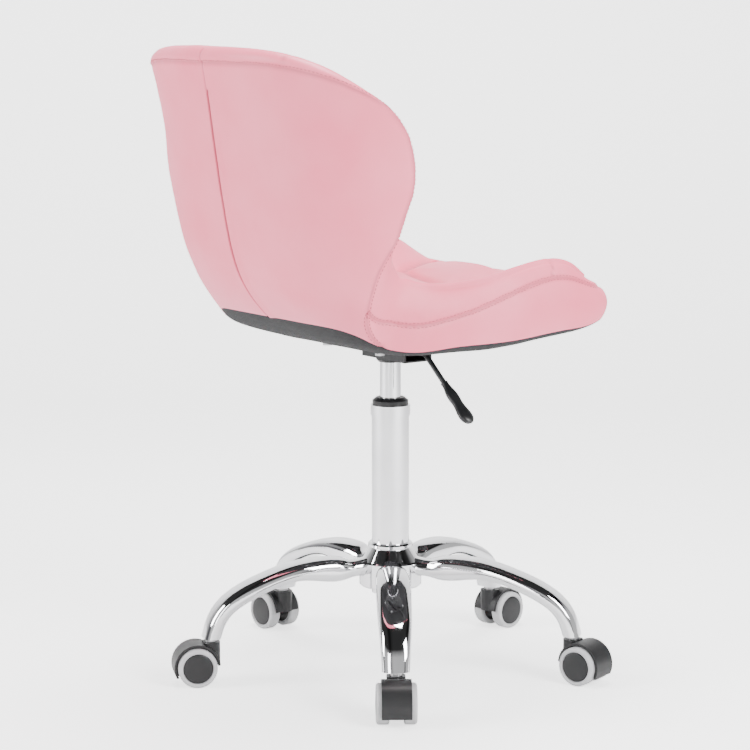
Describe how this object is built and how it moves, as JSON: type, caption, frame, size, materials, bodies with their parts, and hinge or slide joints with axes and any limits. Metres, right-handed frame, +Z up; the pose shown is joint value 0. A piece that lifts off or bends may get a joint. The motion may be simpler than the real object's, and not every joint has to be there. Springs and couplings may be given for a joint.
{
  "type": "salon stool",
  "caption": "Swivel salon stool with a quilted bucket seat, gas-lift column, side lever and chromed star base on twin-wheel casters.",
  "frame": {"origin": "on the floor, on the column's axis", "axes": "+Z up; the sitter faces -Y, so the height lever is at -X, by the sitter's right hand"},
  "size_m": [0.5637, 0.5855, 0.8354],
  "materials": {
    "chrome": "polished",
    "steel": "satin",
    "black_steel": "satin",
    "black_plastic": "satin",
    "wheel_plastic": "satin",
    "leather": "satin",
    "moulded_ply": "matte",
    "foam": "matte",
    "lining": "matte"
  },
  "bodies": {
    "base": {"hub": "chrome", "column_tube": "chrome", "column_collar": "chrome", "tube_end_plate": "steel", "thrust_bearing": "steel", "guide_bush": "black_plastic", "caster_sockets": "black_plastic", "caster_stems": "steel", "arm_1": "chrome", "arm_2": "chrome", "arm_3": "chrome", "arm_4": "chrome", "arm_5": "chrome"},
    "gas_rod": {"piston_rod": "steel", "rod_clip": "steel", "piston": "steel"},
    "seat": {"gas_cylinder": "chrome", "cylinder_gland": "black_plastic", "seat_socket": "black_steel", "seat_plate": "black_steel", "lever_housing": "black_steel", "lever_pivot_pin": "steel", "plate_bolts": "steel", "tee_nuts": "steel", "inner_shell": "moulded_ply", "seat_foam": "foam", "back_foam": "foam", "seat_cover": "leather", "back_cover": "leather", "rear_cover_left": "leather", "rear_cover_right": "leather", "side_band_left": "leather", "side_band_right": "leather", "dust_cover": "lining"},
    "lever": {"lever_rod": "black_steel", "lever_grip": "black_plastic"},
    "release": {"release_pin": "steel"},
    "caster_1": {"caster_1_housing": "black_plastic", "caster_1_axle": "steel"},
    "caster_1_wheel_left": {"caster_1_wheel_left": "wheel_plastic"},
    "caster_1_wheel_right": {"caster_1_wheel_right": "wheel_plastic"},
    "caster_2": {"caster_2_housing": "black_plastic", "caster_2_axle": "steel"},
    "caster_2_wheel_left": {"caster_2_wheel_left": "wheel_plastic"},
    "caster_2_wheel_right": {"caster_2_wheel_right": "wheel_plastic"},
    "caster_3": {"caster_3_housing": "black_plastic", "caster_3_axle": "steel"},
    "caster_3_wheel_left": {"caster_3_wheel_left": "wheel_plastic"},
    "caster_3_wheel_right": {"caster_3_wheel_right": "wheel_plastic"},
    "caster_4": {"caster_4_housing": "black_plastic", "caster_4_axle": "steel"},
    "caster_4_wheel_left": {"caster_4_wheel_left": "wheel_plastic"},
    "caster_4_wheel_right": {"caster_4_wheel_right": "wheel_plastic"},
    "caster_5": {"caster_5_housing": "black_plastic", "caster_5_axle": "steel"},
    "caster_5_wheel_left": {"caster_5_wheel_left": "wheel_plastic"},
    "caster_5_wheel_right": {"caster_5_wheel_right": "wheel_plastic"}
  },
  "joints": [
    {"name": "seat_swivel", "type": "hinge", "parent": "base", "child": "gas_rod", "pos_m": [0, 0, 0.11], "axis": [0, 0, 1], "continuous": true},
    {"name": "seat_lift", "type": "slide", "parent": "gas_rod", "child": "seat", "axis": [0, 0, 1], "range_m": [-0.042, 0.058]},
    {"name": "height_lever", "type": "hinge", "parent": "seat", "child": "lever", "pos_m": [-0.045, 0, 0.4365], "axis": [0, 1, 0], "range_deg": [0, 4], "stiffness_Nm_per_rad": 2, "springref_deg": -6.88},
    {"name": "release_press", "type": "slide", "parent": "seat", "child": "release", "axis": [0, 0, -1], "range_m": [0, 0.0034]},
    {"name": "caster_1_swivel", "type": "hinge", "parent": "base", "child": "caster_1", "pos_m": [0.2527, 0.00706, 0.05], "axis": [0, 0, 1], "continuous": true},
    {"name": "caster_1_wheel_left_roll", "type": "hinge", "parent": "caster_1", "child": "caster_1_wheel_left", "pos_m": [0.27165, 0.00838, 0.026], "axis": [-0.0698, 0.9976, 0], "continuous": true},
    {"name": "caster_1_wheel_right_roll", "type": "hinge", "parent": "caster_1", "child": "caster_1_wheel_right", "pos_m": [0.27165, 0.00838, 0.026], "axis": [-0.0698, 0.9976, 0], "continuous": true},
    {"name": "caster_2_swivel", "type": "hinge", "parent": "base", "child": "caster_2", "pos_m": [0.07138, 0.24252, 0.05], "axis": [0, 0, 1], "continuous": true},
    {"name": "caster_2_wheel_left_roll", "type": "hinge", "parent": "caster_2", "child": "caster_2_wheel_left", "pos_m": [0.07923, 0.25982, 0.026], "axis": [-0.9107, 0.4131, 0], "continuous": true},
    {"name": "caster_2_wheel_right_roll", "type": "hinge", "parent": "caster_2", "child": "caster_2_wheel_right", "pos_m": [0.07923, 0.25982, 0.026], "axis": [-0.9107, 0.4131, 0], "continuous": true},
    {"name": "caster_3_swivel", "type": "hinge", "parent": "base", "child": "caster_3", "pos_m": [-0.20859, 0.14282, 0.05], "axis": [0, 0, 1], "continuous": true},
    {"name": "caster_3_wheel_left_roll", "type": "hinge", "parent": "caster_3", "child": "caster_3_wheel_left", "pos_m": [-0.22427, 0.15356, 0.026], "axis": [-0.565, -0.8251, 0], "continuous": true},
    {"name": "caster_3_wheel_right_roll", "type": "hinge", "parent": "caster_3", "child": "caster_3_wheel_right", "pos_m": [-0.22427, 0.15356, 0.026], "axis": [-0.565, -0.8251, 0], "continuous": true},
    {"name": "caster_4_swivel", "type": "hinge", "parent": "base", "child": "caster_4", "pos_m": [-0.20029, -0.15424, 0.05], "axis": [0, 0, 1], "continuous": true},
    {"name": "caster_4_wheel_left_roll", "type": "hinge", "parent": "caster_4", "child": "caster_4_wheel_left", "pos_m": [-0.2184, -0.15999, 0.026], "axis": [0.3024, -0.9532, 0], "continuous": true},
    {"name": "caster_4_wheel_right_roll", "type": "hinge", "parent": "caster_4", "child": "caster_4_wheel_right", "pos_m": [-0.2184, -0.15999, 0.026], "axis": [0.3024, -0.9532, 0], "continuous": true},
    {"name": "caster_5_swivel", "type": "hinge", "parent": "base", "child": "caster_5", "pos_m": [0.0848, -0.23815, 0.05], "axis": [0, 0, 1], "continuous": true},
    {"name": "caster_5_wheel_left_roll", "type": "hinge", "parent": "caster_5", "child": "caster_5_wheel_left", "pos_m": [0.08764, -0.25694, 0.026], "axis": [0.9888, 0.1495, 0], "continuous": true},
    {"name": "caster_5_wheel_right_roll", "type": "hinge", "parent": "caster_5", "child": "caster_5_wheel_right", "pos_m": [0.08764, -0.25694, 0.026], "axis": [0.9888, 0.1495, 0], "continuous": true}
  ],
  "couplings": [
    {"joint": "release_press", "follows": "height_lever", "m_per_rad": 0.048}
  ]
}
